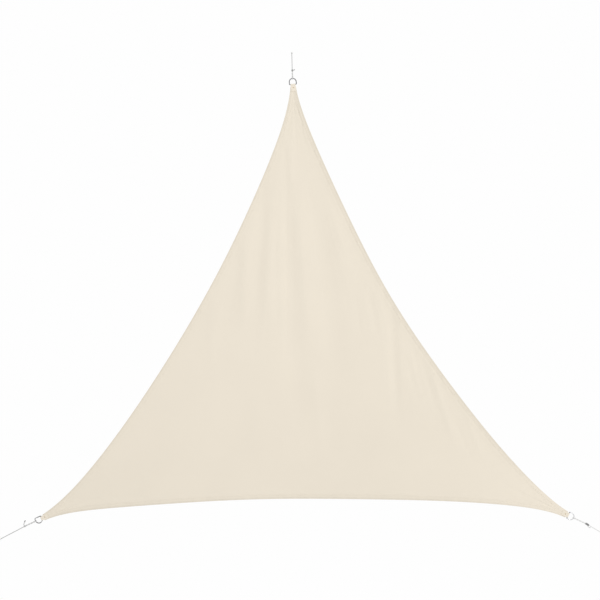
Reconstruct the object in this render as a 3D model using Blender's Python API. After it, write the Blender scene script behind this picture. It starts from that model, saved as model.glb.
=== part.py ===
"""Triangular shade sail, strung upright between three taut ropes.

A hemmed cloth triangle with hollow edges ends in three narrow tips. Each tip carries a folded webbing
loop, the loop holds a D-ring, and a rope goes through the ring, is twisted back on itself, knotted and
led to its anchor, where it ends in a stopper knot.

Metres, +Z up, +X to the right of someone who faces the sail, +Y away from them. The origin is the
middle of the stopper knot at the end of the top rope.
"""

from collections import namedtuple
from math import cos, pi, radians, sin

import bpy
import numpy as np

# Cloth
CLOTH_THICKNESS = 0.002
CLOTH_ROWS = 46
CLOTH_COLUMNS = 32
CELL_BUNCHING = 0.55  # 0 spaces the cells evenly, 1 bunches them fully towards the edges
BILLOW = 0.05  # depth of the soft belly at the middle of the sail
CREASE_FADE_IN = 0.3  # share of a crease's length over which it deepens, from its top
CREASE_FADE_OUT = 0.4  # and over which it dies away, at its foot
FLAT_TIP = 0.06  # the cloth lies flat this far from each tip
FULL_RELIEF = 0.32  # and has its whole relief from here on

# Webbing loops
WEBBING_THICKNESS = 0.0016
WEBBING_WIDTH = 0.036
LEG_LENGTH = 0.034  # sewn stretch of each leg, on either face of the cloth
ROD_STANDOFF = 0.012  # from the cloth's tip to the rod that the loop holds
LEGS_PART = 0.0005  # past the cloth's tip, where the legs begin to part round the rod
LEGS_WIDE = 0.0102  # and where they are as far apart as the rod is thick
NARROWING = 0.010  # before the cloth's tip, where the webbing begins to be gathered
LEG_POINTS = 6
EYE_POINTS = 13

# D-rings
ROD_DIAMETER = 0.006
RING_RADIUS = 0.024  # arc, along the middle of the rod
BAR_DROP = 0.018  # from the arc's centre to the straight bar
RING_CORNER_RADIUS = 0.007
ARC_POINTS = 21
BEND_POINTS = 6

# Ropes
ROPE_DIAMETER = 0.005
TWIST_RADIUS = 0.0027  # from the axis of the doubled stretch to either strand
TWIST_PITCH = 0.040
TWO_STRANDS = TWIST_RADIUS + 0.5 * ROPE_DIAMETER  # half the thickness of the doubled stretch
CLOSING_LENGTH = 0.014  # over which the strands close in, from the rod's width to the twist
TURN_STEP = 0.0030  # spacing of points along the doubled stretch
WRAP_POINTS = 11  # on the half turn round the rod
ROPE_STEP = 0.0125  # and along the single one
TAIL_STEP = 0.0075  # and along a free end
KNOT_RADIUS = 0.0068
END_KNOT_LENGTH = 0.014
END_KNOT_RADIUS = 0.0065
END_KNOT_MOUTH = 0.0030  # radius where the rope goes into it
LUMP_SIDES = 14
LUMP_SECTIONS = 9

GAP = 0.0003  # between pieces that touch
ROD_SIDES = 2  # bevel resolution: 8 sides
ROPE_SIDES = 2

# One row for each tip of the cloth. Angles are in degrees from +X towards +Z.
#   tip_x, tip_z   middle of the cut end of the cloth
#   pull           direction from the cloth to the ring
#   tip_width      width of the cut end of the cloth
#   loop_width     width of the webbing where it holds the rod
#   held_by        how the ring hangs in its loop: by its bar, or by its arc with the bar to one side
#   knot_x, knot_z middle of the knot
#   knot_length    along the rope
#   anchor_x, anchor_z  middle of the stopper knot at the rope's end
Corner = namedtuple(
    "Corner",
    "name tip_x tip_z pull tip_width loop_width held_by knot_x knot_z knot_length anchor_x anchor_z",
)
CORNERS = (
    Corner("top", 0.0095, -0.229, 96.0, 0.037, 0.033, "bar", 0.0030, -0.1190, 0.015, 0.0, 0.0),
    Corner("left", -1.708, -3.197, 203.5, 0.042, 0.026, "arc", -1.8383, -3.2580, 0.014, -2.030, -3.358),
    Corner("right", 1.891, -3.176, -25.0, 0.046, 0.033, "bar", 2.0329, -3.2437, 0.031, 2.150, -3.312),
)

# One row for each edge of the cloth: hollow is the even inward sag, pinch the extra that comes in close to
# the tips (the higher its power, the closer), lean moves the deepest point towards the edge's end, and sway
# and swell are two slow waves along it.
Edge = namedtuple("Edge", "start end hollow pinch pinch_power lean sway swell")
EDGES = {
    "left": Edge("top", "left", 0.1634, 0.053, 9.4, 0.009, -0.0015, 0.0),
    "right": Edge("top", "right", 0.2062, 0.0241, 16.0, 0.0215, -0.0032, 0.0040),
    "bottom": Edge("left", "right", 0.0932, 0.0465, 13.0, 0.0115, -0.0035, 0.0001),
}

# Main creases: soft troughs and ridges that fall from the top tip, each with its own width at its top and
# at its foot. A positive depth is a trough, away from whoever faces the sail.
Crease = namedtuple("Crease", "top_x top_z foot_x foot_z top_width foot_width depth")
CREASES = (
    Crease(-0.170, -0.700, -0.268, -2.100, 0.046, 0.052, 0.0075),
    Crease(-0.045, -0.720, 0.045, -2.800, 0.032, 0.100, 0.0080),
    Crease(0.150, -0.820, 0.335, -2.500, 0.058, 0.090, 0.0080),
    Crease(0.668, -1.580, 0.728, -2.660, 0.030, 0.034, 0.0060),
    Crease(-0.140, -0.860, -0.180, -2.060, 0.048, 0.048, -0.0035),
    Crease(0.045, -0.880, 0.110, -2.080, 0.046, 0.046, -0.0040),
    Crease(0.290, -1.020, 0.400, -1.750, 0.060, 0.060, -0.0050),
)

# Route of the short free end that each knot leaves, from the knot's middle: metres along the pull, metres
# across it.
TAIL_ROUTES = {
    "top": ((0.0015, -0.0075), (0.0020, -0.0115), (0.0028, -0.0186)),
    "left": ((0.0010, -0.0075), (-0.0008, -0.0150), (-0.0105, -0.0245), (-0.0225, -0.0350)),
    "right": ((0.0105, -0.0073), (0.011, -0.0098), (0.015, -0.0118), (0.0225, -0.0112), (0.0305, -0.0100)),
}

# name: base colour, roughness, metallic
MATERIALS = {
    "cloth": ((0.83, 0.76, 0.64), 0.85, 0.0),
    "webbing": ((0.80, 0.72, 0.58), 0.80, 0.0),
    "steel": ((0.42, 0.42, 0.43), 0.25, 1.0),
    "rope": ((0.72, 0.72, 0.71), 0.75, 0.0),
}


# --- placing -----------------------------------------------------------------------------------------


def corner_named(name):
    return next(c for c in CORNERS if c.name == name)


def direction(degrees):
    """Unit vector in the plane of the sail."""
    return np.array((cos(radians(degrees)), 0.0, sin(radians(degrees))))


def heading(start, end):
    """Degrees from +X towards +Z of the way from start to end."""
    return np.degrees(np.arctan2(end[2] - start[2], end[0] - start[0]))


def local_points(origin, degrees, along, across, depth):
    """Points given along a heading, across it (a quarter turn on) and in depth, from an origin."""
    along, across, depth = np.broadcast_arrays(
        np.asarray(along, float), np.asarray(across, float), np.asarray(depth, float)
    )
    return (
        np.asarray(origin)
        + along[..., None] * direction(degrees)
        + across[..., None] * direction(degrees + 90)
        + depth[..., None] * np.array((0.0, 1.0, 0.0))
    )


def tip_point(corner):
    return np.array((corner.tip_x, 0.0, corner.tip_z))


def knot_point(corner):
    return np.array((corner.knot_x, 0.0, corner.knot_z))


def anchor_point(corner):
    return np.array((corner.anchor_x, 0.0, corner.anchor_z))


def hold_distance(corner):
    """From the ring's centre to the part of its rod that lies in the webbing loop."""
    return BAR_DROP if corner.held_by == "bar" else RING_RADIUS


def ring_centre(corner):
    return tip_point(corner) + (ROD_STANDOFF + hold_distance(corner)) * direction(corner.pull)


def smooth_curve(points, step):
    """A Catmull-Rom curve through the points, read at about one point every step."""
    points = np.asarray(points, float)
    padded = np.vstack((2 * points[0] - points[1], points, 2 * points[-1] - points[-2]))
    pieces = []
    for before, start, end, after in zip(padded, padded[1:], padded[2:], padded[3:]):
        count = max(2, int(round(np.linalg.norm(end - start) / step)))
        t = np.linspace(0, 1, count, endpoint=False)[:, None]
        pieces.append(
            0.5
            * (
                2 * start
                + (end - before) * t
                + (2 * before - 5 * start + 4 * end - after) * t**2
                + (3 * start - before - 3 * end + after) * t**3
            )
        )
    return np.vstack(pieces + [points[-1:]])


def smooth_step(x):
    x = np.clip(x, 0, 1)
    return x * x * (3 - 2 * x)


# --- making objects ----------------------------------------------------------------------------------


def clear_scene():
    for thing in list(bpy.data.objects):
        bpy.data.objects.remove(thing, do_unlink=True)


def material(name):
    found = bpy.data.materials.get(name)
    if found:
        return found
    colour, roughness, metallic = MATERIALS[name]
    made = bpy.data.materials.new(name)
    made.use_nodes = True
    shader = made.node_tree.nodes["Principled BSDF"]
    shader.inputs["Base Color"].default_value = (*colour, 1.0)
    shader.inputs["Roughness"].default_value = roughness
    shader.inputs["Metallic"].default_value = metallic
    made.diffuse_color = (*colour, 1.0)
    return made


def add_object(name, data, finish):
    data.materials.append(material(finish))
    made = bpy.data.objects.new(name, data)
    bpy.context.collection.objects.link(made)
    return made


def add_mesh(name, vertices, faces, finish, smooth=True):
    mesh = bpy.data.meshes.new(name)
    mesh.from_pydata([tuple(v) for v in vertices], [], faces)
    mesh.validate()
    if smooth:
        mesh.shade_smooth()
    return add_object(name, mesh, finish)


def add_tube(name, path, radius, finish, sides, closed=False):
    """A round rod or rope along a path of points; an open one has flat caps."""
    curve = bpy.data.curves.new(name, "CURVE")
    curve.dimensions = "3D"
    curve.bevel_depth = radius
    curve.bevel_resolution = sides
    curve.use_fill_caps = True
    spline = curve.splines.new("POLY")
    spline.points.add(len(path) - 1)
    spline.points.foreach_set("co", np.column_stack((path, np.ones(len(path)))).ravel())
    spline.use_cyclic_u = closed
    return add_object(name, curve, finish)


def grid_faces(rows, columns, offset, flip):
    """Quads of a grid whose vertices are numbered row by row."""
    faces = []
    for i in range(rows - 1):
        for j in range(columns - 1):
            a = offset + i * columns + j
            quad = (a, a + 1, a + columns + 1, a + columns)
            faces.append(quad[::-1] if flip else quad)
    return faces


# --- cloth -------------------------------------------------------------------------------------------


def tip_ends(name):
    """Both ends of a tip's cut edge: the one a quarter turn on from the pull, and the other."""
    corner = corner_named(name)
    half = 0.5 * corner.tip_width * direction(corner.pull + 90)
    return tip_point(corner) + half, tip_point(corner) - half


def edge_points(name, t):
    """Chord from start to end, moved inwards by pinch (1 - |w|^power)
    + (1 - w^2) (hollow + lean w + sway sin 2 pi w + swell cos 2 pi w), with w running from -1 to 1."""
    edge = EDGES[name]
    start_side = {"left": 0, "right": 1, "bottom": 0}[name]
    end_side = {"left": 1, "right": 0, "bottom": 1}[name]
    start, end = tip_ends(edge.start)[start_side], tip_ends(edge.end)[end_side]
    middle = sum(tip_point(c) for c in CORNERS) / len(CORNERS)
    inward = np.cross(end - start, (0.0, 1.0, 0.0))
    inward *= np.sign(inward @ (middle - start)) / np.linalg.norm(inward)
    w = 2 * t - 1
    waves = edge.sway * np.sin(2 * pi * w) + edge.swell * np.cos(2 * pi * w)
    sag = edge.pinch * (1 - np.abs(w) ** edge.pinch_power)
    sag = sag + (1 - w**2) * (edge.hollow + edge.lean * w + waves)
    return start + t[:, None] * (end - start) + sag[:, None] * inward


def bunched(count):
    """Numbers from 0 to 1, closer together towards both ends."""
    s = np.linspace(0, 1, count)
    return (1 - CELL_BUNCHING) * s + CELL_BUNCHING * 0.5 * (1 - np.cos(pi * s))


def relief(points):
    """Depth of the hanging cloth: a belly that is the product of the three distances to the sides, each as
    a share of the triangle's height, plus the creases, each a rounded trough with soft ends. The tips stay
    flat."""
    x, z = points[..., 0], points[..., 2]
    a, b, c = (tip_point(corner)[[0, 2]] for corner in CORNERS)
    area = (b[0] - a[0]) * (c[1] - a[1]) - (c[0] - a[0]) * (b[1] - a[1])
    share_b = ((x - a[0]) * (c[1] - a[1]) - (c[0] - a[0]) * (z - a[1])) / area
    share_c = ((b[0] - a[0]) * (z - a[1]) - (x - a[0]) * (b[1] - a[1])) / area
    share_a = 1 - share_b - share_c
    product = np.clip(share_a, 0, 1) * np.clip(share_b, 0, 1) * np.clip(share_c, 0, 1)
    product_at_middle = (1 / 3) ** 3
    depth = -BILLOW * product / product_at_middle
    for crease in CREASES:
        run_x, run_z = crease.foot_x - crease.top_x, crease.foot_z - crease.top_z
        length = np.hypot(run_x, run_z)
        along = ((x - crease.top_x) * run_x + (z - crease.top_z) * run_z) / length**2
        across = ((x - crease.top_x) * run_z - (z - crease.top_z) * run_x) / length
        width = crease.top_width + (crease.foot_width - crease.top_width) * np.clip(along, 0, 1)
        ends = smooth_step(along / CREASE_FADE_IN) * smooth_step((1 - along) / CREASE_FADE_OUT)
        depth = depth + crease.depth * ends * np.exp(-((across / width) ** 2))
    for tip in (a, b, c):
        away = np.hypot(x - tip[0], z - tip[1])
        depth = depth * smooth_step((away - FLAT_TIP) / (FULL_RELIEF - FLAT_TIP))
    return depth


def cloth_surface():
    """Rows run from the left edge to the right one. The last row is the bottom edge, and each row above
    it takes its share of that edge's curve."""
    t = bunched(CLOTH_ROWS)
    left = np.vstack((edge_points("left", t), edge_points("bottom", np.zeros(1))))
    right = np.vstack((edge_points("right", t), edge_points("bottom", np.ones(1))))
    tip_share = corner_named("left").tip_width / np.linalg.norm(left[-1] - left[0])
    v = np.append(t * (1 - tip_share), 1.0)[:, None, None]
    u = bunched(CLOTH_COLUMNS)[None, :, None]
    bottom = edge_points("bottom", u.ravel())[None]
    chord = (1 - u) * bottom[:, :1] + u * bottom[:, -1:]
    points = (1 - u) * left[:, None] + u * right[:, None] + v * (bottom - chord)
    points[..., 1] = relief(points)
    return points


def surface_normals(points):
    """Unit normals that point towards -Y."""
    across = np.gradient(points, axis=1)
    down = np.gradient(points, axis=0)
    normals = np.cross(across, down)
    normals /= np.linalg.norm(normals, axis=2, keepdims=True)
    return normals * np.where(normals[..., 1:2] > 0, -1, 1)


def make_cloth():
    middle = cloth_surface()
    rows, columns = middle.shape[:2]
    half = 0.5 * CLOTH_THICKNESS * surface_normals(middle)
    vertices = np.vstack(((middle + half).reshape(-1, 3), (middle - half).reshape(-1, 3)))
    back = rows * columns
    faces = grid_faces(rows, columns, 0, True) + grid_faces(rows, columns, back, False)
    rim = [j for j in range(columns)]
    rim += [i * columns + columns - 1 for i in range(1, rows)]
    rim += [(rows - 1) * columns + j for j in range(columns - 2, -1, -1)]
    rim += [i * columns for i in range(rows - 2, 0, -1)]
    for a, b in zip(rim, rim[1:] + rim[:1]):
        faces.append((a, b, b + back, a + back))
    add_mesh("sail_cloth", vertices, faces, "cloth")


# --- fittings ----------------------------------------------------------------------------------------


def make_webbing_loop(corner):
    """A flat strap whose middle line runs down one face of the tip, round the rod and up the other."""
    flat_depth = 0.5 * CLOTH_THICKNESS + GAP + 0.5 * WEBBING_THICKNESS
    eye_depth = 0.5 * ROD_DIAMETER + GAP + 0.5 * WEBBING_THICKNESS
    half_width = 0.5 * corner.loop_width
    eye_end = ROD_STANDOFF
    if corner.held_by == "arc":
        slant = np.sqrt(1 - (half_width / RING_RADIUS) ** 2)
        eye_end += RING_RADIUS * (1 - slant) + 0.5 * ROD_DIAMETER * (1 / slant - 1) + GAP
    rise = smooth_step(np.linspace(0, 1, LEG_POINTS))
    turn = np.linspace(-pi / 2, pi / 2, EYE_POINTS)
    leg_along = np.concatenate(([-LEG_LENGTH], np.linspace(LEGS_PART, LEGS_WIDE, LEG_POINTS)))
    leg_depth = np.concatenate(([flat_depth], flat_depth + rise * (eye_depth - flat_depth)))
    along = np.concatenate((leg_along, eye_end + eye_depth * np.cos(turn), leg_along[::-1]))
    depth = np.concatenate((-leg_depth, eye_depth * np.sin(turn), leg_depth[::-1]))
    path = np.column_stack((along, depth))
    tangent = np.gradient(path, axis=0)
    tangent /= np.linalg.norm(tangent, axis=1, keepdims=True)
    outward = np.column_stack((tangent[:, 1], -tangent[:, 0]))
    outer = path + 0.5 * WEBBING_THICKNESS * outward
    inner = path - 0.5 * WEBBING_THICKNESS * outward
    narrow = smooth_step((along + NARROWING) / (eye_end + NARROWING))
    width = 0.5 * (WEBBING_WIDTH + (corner.loop_width - WEBBING_WIDTH) * narrow)
    rings = (
        (outer, width),
        (outer, -width),
        (inner, -width),
        (inner, width),
    )
    origin = tip_point(corner)
    corners = [local_points(origin, corner.pull, side[:, 0], across, side[:, 1]) for side, across in rings]
    vertices = np.stack(corners, axis=1).reshape(-1, 3)
    faces = [(3, 2, 1, 0)]
    last = 4 * (len(path) - 1)
    for start in range(0, last, 4):
        for k in range(4):
            a, b = start + k, start + (k + 1) % 4
            faces.append((a, b, b + 4, a + 4))
    faces.append((last, last + 1, last + 2, last + 3))
    add_mesh(f"webbing_loop_{corner.name}", vertices, faces, "webbing", smooth=False)


def ring_path():
    """Middle line of the rod: half a circle, two short legs, two rounded corners and the straight bar.
    First number towards the top of the arc, second across."""
    arc = np.linspace(-pi / 2, pi / 2, ARC_POINTS)
    bend = np.linspace(pi / 2, pi, BEND_POINTS)
    bend_along = RING_CORNER_RADIUS - BAR_DROP
    bend_across = RING_RADIUS - RING_CORNER_RADIUS
    upper = np.column_stack((RING_RADIUS * np.cos(arc), RING_RADIUS * np.sin(arc)))
    side = np.column_stack(
        (bend_along + RING_CORNER_RADIUS * np.cos(bend), bend_across + RING_CORNER_RADIUS * np.sin(bend))
    )
    other = side[::-1] * (1, -1)
    return np.vstack((upper, side, other))


def make_ring(corner):
    path = ring_path()
    top_of_arc = corner.pull if corner.held_by == "bar" else corner.pull + 90
    points = local_points(ring_centre(corner), top_of_arc, path[:, 0], path[:, 1], 0.0)
    add_tube(f"d_ring_{corner.name}", points, 0.5 * ROD_DIAMETER, "steel", ROD_SIDES, closed=True)


def make_rope_turn(corner):
    """Two strands twisted round each other between the knot and the ring, joined by half a turn round
    the ring's rod."""
    centre, knot = ring_centre(corner), knot_point(corner)
    course = heading(centre, knot)
    wrap_radius = 0.5 * ROD_DIAMETER + GAP + 0.5 * ROPE_DIAMETER
    strand_lean = np.arctan(2 * pi * TWIST_RADIUS / TWIST_PITCH)
    course_change = radians(abs(course - heading(knot, anchor_point(corner))))
    slant = 0.5 * ROPE_DIAMETER * sin(strand_lean) + TWO_STRANDS * sin(course_change)
    far = np.linalg.norm(knot - centre) - 0.5 * corner.knot_length - GAP - slant
    along = np.arange(far, RING_RADIUS, -TURN_STEP)
    settle = smooth_step((along - RING_RADIUS) / CLOSING_LENGTH)
    radius = wrap_radius + (TWIST_RADIUS - wrap_radius) * settle
    angle = 2 * pi * (along - RING_RADIUS) / TWIST_PITCH * settle
    front = np.column_stack((along, radius * np.sin(angle), -radius * np.cos(angle)))
    back = front[::-1] * (1, -1, -1)
    half_turn = np.linspace(0, pi, WRAP_POINTS)
    wrap = np.column_stack(
        (
            RING_RADIUS - wrap_radius * np.sin(half_turn),
            np.zeros(len(half_turn)),
            -wrap_radius * np.cos(half_turn),
        )
    )
    path = np.vstack((front, wrap, back))
    points = local_points(centre, course, path[:, 0], path[:, 1], path[:, 2])
    add_tube(f"rope_turn_{corner.name}", points, 0.5 * ROPE_DIAMETER, "rope", ROPE_SIDES)


def make_lump(name, centre, course, length, radius, end_radius):
    """A turned lump: flat ends of end_radius, swelling to radius in between as (1 - s^4)^(3/4)."""
    sides = LUMP_SIDES
    s = np.linspace(-1, 1, LUMP_SECTIONS)
    profile = end_radius + (radius - end_radius) * (1 - s**4) ** 0.75
    around = 2 * pi * np.arange(sides) / sides
    along = 0.5 * length * s[:, None] * np.ones(sides)
    across = profile[:, None] * np.cos(around)
    depth = profile[:, None] * np.sin(around)
    vertices = local_points(centre, course, along, across, depth).reshape(-1, 3)
    faces = [tuple(range(sides)), tuple(range(len(vertices) - 1, len(vertices) - 1 - sides, -1))]
    for i in range(len(s) - 1):
        for j in range(sides):
            a, b = i * sides + j, i * sides + (j + 1) % sides
            faces.append((a, a + sides, b + sides, b))
    add_mesh(name, vertices, faces, "rope")


def make_rope(corner):
    """The knot, the single stretch to the anchor and the stopper knot on its end."""
    knot, anchor = knot_point(corner), anchor_point(corner)
    course = heading(knot, anchor)
    make_lump(f"knot_{corner.name}", knot, course, corner.knot_length, KNOT_RADIUS, TWO_STRANDS)
    start = 0.5 * corner.knot_length + GAP
    end = np.linalg.norm(anchor - knot) - 0.5 * END_KNOT_LENGTH - GAP
    along = np.linspace(start, end, max(2, int((end - start) / ROPE_STEP)))
    points = local_points(knot, course, along, 0.0, 0.0)
    add_tube(f"rope_{corner.name}", points, 0.5 * ROPE_DIAMETER, "rope", ROPE_SIDES)
    make_lump(f"end_knot_{corner.name}", anchor, course, END_KNOT_LENGTH, END_KNOT_RADIUS, END_KNOT_MOUTH)


def make_tail(corner):
    route = np.array(TAIL_ROUTES[corner.name])
    course = heading(knot_point(corner), anchor_point(corner))
    points = local_points(knot_point(corner), course, route[:, 0], route[:, 1], 0.0)
    path = smooth_curve(points, TAIL_STEP)
    add_tube(f"rope_tail_{corner.name}", path, 0.5 * ROPE_DIAMETER, "rope", ROPE_SIDES)


clear_scene()
make_cloth()
for each in CORNERS:
    make_webbing_loop(each)
    make_ring(each)
    make_rope_turn(each)
    make_rope(each)
    make_tail(each)
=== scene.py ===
"""Looks of the triangular shade sail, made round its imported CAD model.

In order: the camera, the ropes with their knots, the cloth panel with its hemmed borders and seams, the
webbing straps with their stitching, the rings, and the floor and lights. Metres, in the frame of the CAD
model: +X to the right of someone who faces the sail, +Y away from them, +Z up. The origin is the middle of
the stopper knot at the end of the top rope.
"""

from collections import namedtuple
from math import pi, radians

import bmesh
import bpy
import numpy as np
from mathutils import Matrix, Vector


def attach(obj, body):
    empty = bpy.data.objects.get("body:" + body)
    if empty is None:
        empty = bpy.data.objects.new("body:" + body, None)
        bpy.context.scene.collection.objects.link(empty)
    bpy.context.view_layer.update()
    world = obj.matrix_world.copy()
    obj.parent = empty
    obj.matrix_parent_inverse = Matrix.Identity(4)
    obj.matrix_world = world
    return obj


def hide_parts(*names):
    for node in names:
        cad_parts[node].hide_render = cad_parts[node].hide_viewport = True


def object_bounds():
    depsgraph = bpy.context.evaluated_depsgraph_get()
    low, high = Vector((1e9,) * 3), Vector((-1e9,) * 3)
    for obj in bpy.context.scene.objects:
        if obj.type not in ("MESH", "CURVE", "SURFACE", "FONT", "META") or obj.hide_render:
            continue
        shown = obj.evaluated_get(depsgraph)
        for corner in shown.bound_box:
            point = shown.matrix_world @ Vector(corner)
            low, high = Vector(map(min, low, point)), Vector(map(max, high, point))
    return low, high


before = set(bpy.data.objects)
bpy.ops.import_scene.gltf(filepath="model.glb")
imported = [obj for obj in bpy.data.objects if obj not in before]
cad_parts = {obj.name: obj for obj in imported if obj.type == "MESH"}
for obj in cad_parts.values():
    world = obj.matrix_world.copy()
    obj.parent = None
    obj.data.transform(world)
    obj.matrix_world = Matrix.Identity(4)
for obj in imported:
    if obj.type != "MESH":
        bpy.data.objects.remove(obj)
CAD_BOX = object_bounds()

# Camera. The photograph is seen square on, and its pixels are counted from 0 at the middle of the first.
PICTURE_SIDE = 600  # pixels
PIXEL_SIZE = 0.006883  # metres of the sail's plane in one pixel
ORIGIN_PIXEL = (291.3, 52.5)  # where the end of the top rope is seen
CAMERA_DISTANCE = 12.0
SENSOR = 36.0  # millimetres

GAP = 0.0003  # between pieces that touch

# Cloth
PANEL_THICKNESS = 0.0008
PANEL_ROWS = 225
PANEL_COLUMNS = 212
BUNCHING = 0.35  # 0 spaces the panel's rows and columns evenly, 1 bunches them fully towards its sides
HEM_WIDTH = 0.027
HEM_FRONT = 0.0008  # height of the folded hem over the middle of the cloth, on the front
HEM_BACK = 0.0012  # and on the back, where its free edge lies
EDGE_ROUNDING = 0.0016  # over which the hem's outer edge is rounded
FOLD_STEP = 0.0016  # over which the folded layer ends
SEAM_INSET = 0.0245  # from the cloth's edge to the line of stitches
GROOVE_WIDTH = 0.0013  # from its middle to where the stitches' groove is 1/e deep
GROOVE_FRONT = 0.0003
GROOVE_BACK = 0.0004
BORDER = 0.078  # width of the bands that hold the hems and the puckers beside them
BORDER_STEPS = 700  # along each band
TIP_TURN = 0.09  # from a tip, over which the way in from the edge turns to the line of the tip's cut
TUCK = 0.003  # what a band reaches into its neighbour, out of sight
TUCK_THINNER = 0.00012  # than half the panel, so that what is tucked in stays inside it
BILLOW = 0.05  # depth of the soft belly at the middle of the sail
CREASE_FADE_IN = 0.3  # share of a crease's length over which it deepens, from its top
CREASE_FADE_OUT = 0.4  # and over which it dies away, at its foot
FAN_SEED = 41
FAN_CREASES = 46  # that spread from the top tip
FAN_BEARING = -89.0  # of their middle, in degrees from +X towards +Z
FAN_HALF_ANGLE = 27
FLAT_TIP = 0.06  # the cloth lies flat this far from each tip
FULL_RELIEF = 0.32  # and has its whole relief from here on

# Sewing
HEM_STITCH = 0.0052
HEM_STITCH_PITCH = 0.0065
HEM_STITCH_START = 0.022  # share of the edge's chord that is left unsewn at each end
HEM_THREAD = 0.0009
BOX_LOW, BOX_HIGH, BOX_SIDE = -0.031, -0.014, 0.0135  # sewn box, along the strap and half its width
BOX_STITCH = 0.0028
BOX_STITCH_PITCH = 0.0034
TACK_LOW, TACK_HIGH, TACK_SIDE = -0.0112, -0.0062, 0.0055  # bar tack, in the same way
TACK_ROWS = 9
TACK_STITCH = 0.0112  # one stitch right across, a little longer than its line
STRAP_THREAD = 0.0007
THREAD_LIFT = 0.0001  # of a hem's stitches out of their groove

# Webbing
STRAP_THICKNESS = 0.0016
STRAP_WIDTH = 0.036
STRAP_LEG = 0.034  # sewn stretch of each leg, on either face of the cloth
CLOTH_AT_STRAP = 0.002  # thickness of the cloth between the legs
ROD_STANDOFF = 0.012  # from the cloth's tip to the rod that the strap holds
LEGS_PART = 0.0005  # past the cloth's tip, where the legs begin to part round the rod
LEGS_WIDE = 0.0102  # and where they are as far apart as the rod is thick
NARROWING = 0.010  # before the cloth's tip, where the webbing begins to be gathered
STRAP_RIBS = 11
RIB_HEIGHT = 0.00014

# Rings
ROD_DIAMETER = 0.006
RING_RADIUS = 0.024  # arc, along the middle of the rod
RING_STEP = 0.0011  # between one ring of points and the next along the rod
RING_SIDES = 28
BAR_DROP = 0.018  # from the arc's centre to the straight bar
RING_CORNER_RADIUS = 0.007
WELD_HEIGHT = 0.00022
WELD_LENGTH = 0.0035
WELD_RIPPLE = 0.0011

# Ropes
ROPE_DIAMETER = 0.005
WRAP_RADIUS = 0.5 * ROD_DIAMETER + GAP + 0.5 * ROPE_DIAMETER  # of the half turn round the rod
TWIST_RADIUS = 0.0027  # from the axis of the doubled stretch to either strand
TWIST_PITCH = 0.040
CLOSING_LENGTH = 0.014  # over which the strands close in, from the rod's width to the twist
END_KNOT_LENGTH = 0.014
KNOT_WRAP_RADIUS = 0.0050  # from the rope's middle to the middle of a turn round it
KNOT_TURN_POINTS = 48  # on one turn
KNOT_DIVE = 0.35  # share of that radius that the turns' two ends dive to
WRAP_DIAMETER = 0.0047  # of the rope where it is pulled tight in a knot
STOPPER_WRAP_RADIUS = 0.9 * KNOT_WRAP_RADIUS
STOPPER_WRAP_DIAMETER = 0.94 * WRAP_DIAMETER
TURN_OFF = 0.008  # before the knot's middle, where the free end begins to turn out of the knot
BEND_EASING = 0.010
BRAID_STRANDS = 8
BRAID_LENGTH = 0.0042  # of one diamond of the braid
BRAID_DEPTH = 0.09  # share of the rope's radius
BRAID_MIDDLE = 0.6  # height of the braid, from 0 to 1, that lies at the rope's radius
SEALED_SWELL = 0.22  # share of the rope's radius
SEALED_FADE = 0.002  # over which the melted stretch begins
END_ROUNDING = 0.4  # of the rope's diameter, over which its end is rounded
SEALED_TIP = 0.001  # dark stretch at the end of a rope that runs to its anchor
ROPE_SIDES = 32
ROPE_STEP = 0.0008

# Colours
CLOTH_COLOUR = (0.739, 0.675, 0.572)
# Darker, warmer cloth colour: partly the denser double layer of the hems, mostly painted shade.
SHADE_AND_DENSITY_COLOUR = (0.664, 0.606, 0.509)
BAND_PAINTED_SHADE = 0.16  # painted shade: way from the cloth's colour to the darker one, in a broad band where the lamp lights the cloth most
TIP_SHARE = 0.75  # of that, at the top tip and the left one
YARN_PITCH = 0.0016
YARN_HEIGHT = 0.0002
STRAP_COLOUR = (0.77, 0.705, 0.60)
STRAP_SHADE = (0.70, 0.64, 0.54)
STRAP_RIB_PITCH = 0.0012
STRAP_RIB_HEIGHT = 0.00012
ROPE_DARK = (0.15, 0.15, 0.15)
ROPE_PALE = (0.90, 0.90, 0.89)
SEALED_COLOUR = (0.06, 0.055, 0.05)
ROPE_DIP_SHADE = 0.45  # painted shade: share of the tone that is left deepest between the strands
FIBRE_HEIGHT = 0.0001
# The rings' steel runs from dark to pale as painted reflections of the surroundings.
STEEL_DARK = (0.045, 0.045, 0.047)
STEEL_PALE = (0.86, 0.86, 0.88)
SCRATCH_DEPTH = 0.00003
CREAM_THREAD = (0.82, 0.76, 0.65)
TAN_THREAD = (0.60, 0.49, 0.33)
PLY_HEIGHT = 0.00001
FLOOR_COLOUR = (0.86, 0.86, 0.855)

# Floor and light
FLOOR_RADIUS = 3.7
FLOOR_DROP = 1.1  # below the lowest point of the CAD model
FLOOR_SIDES = 96
SURROUND = 0.991
LAMP_PLACE = (8.4, -9.9, 4.8)
LAMP_AIM = (0.0, 0.0, -2.0)
LAMP_SIZE = 4.0
LAMP_POWER = 530.0

SHARP_ANGLE = radians(75)  # edges bent more than this are left crisp
DEPTH_WAY = np.array((0.0, 1.0, 0.0))

# One row for each tip of the cloth, as in the CAD model. Places are (x, z), and the pull is an angle in
# degrees from +X towards +Z.
Corner = namedtuple("Corner", "name tip pull tip_width loop_width held_by knot knot_length anchor")
CORNERS = (
    Corner("top", (0.0095, -0.229), 96.0, 0.037, 0.033, "bar", (0.0030, -0.1190), 0.015, (0.0, 0.0)),
    Corner("left", (-1.708, -3.197), 203.5, 0.042, 0.026, "arc", (-1.8383, -3.258), 0.014, (-2.030, -3.358)),
    Corner("right", (1.891, -3.176), -25.0, 0.046, 0.033, "bar", (2.0329, -3.2437), 0.031, (2.150, -3.312)),
)

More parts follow.
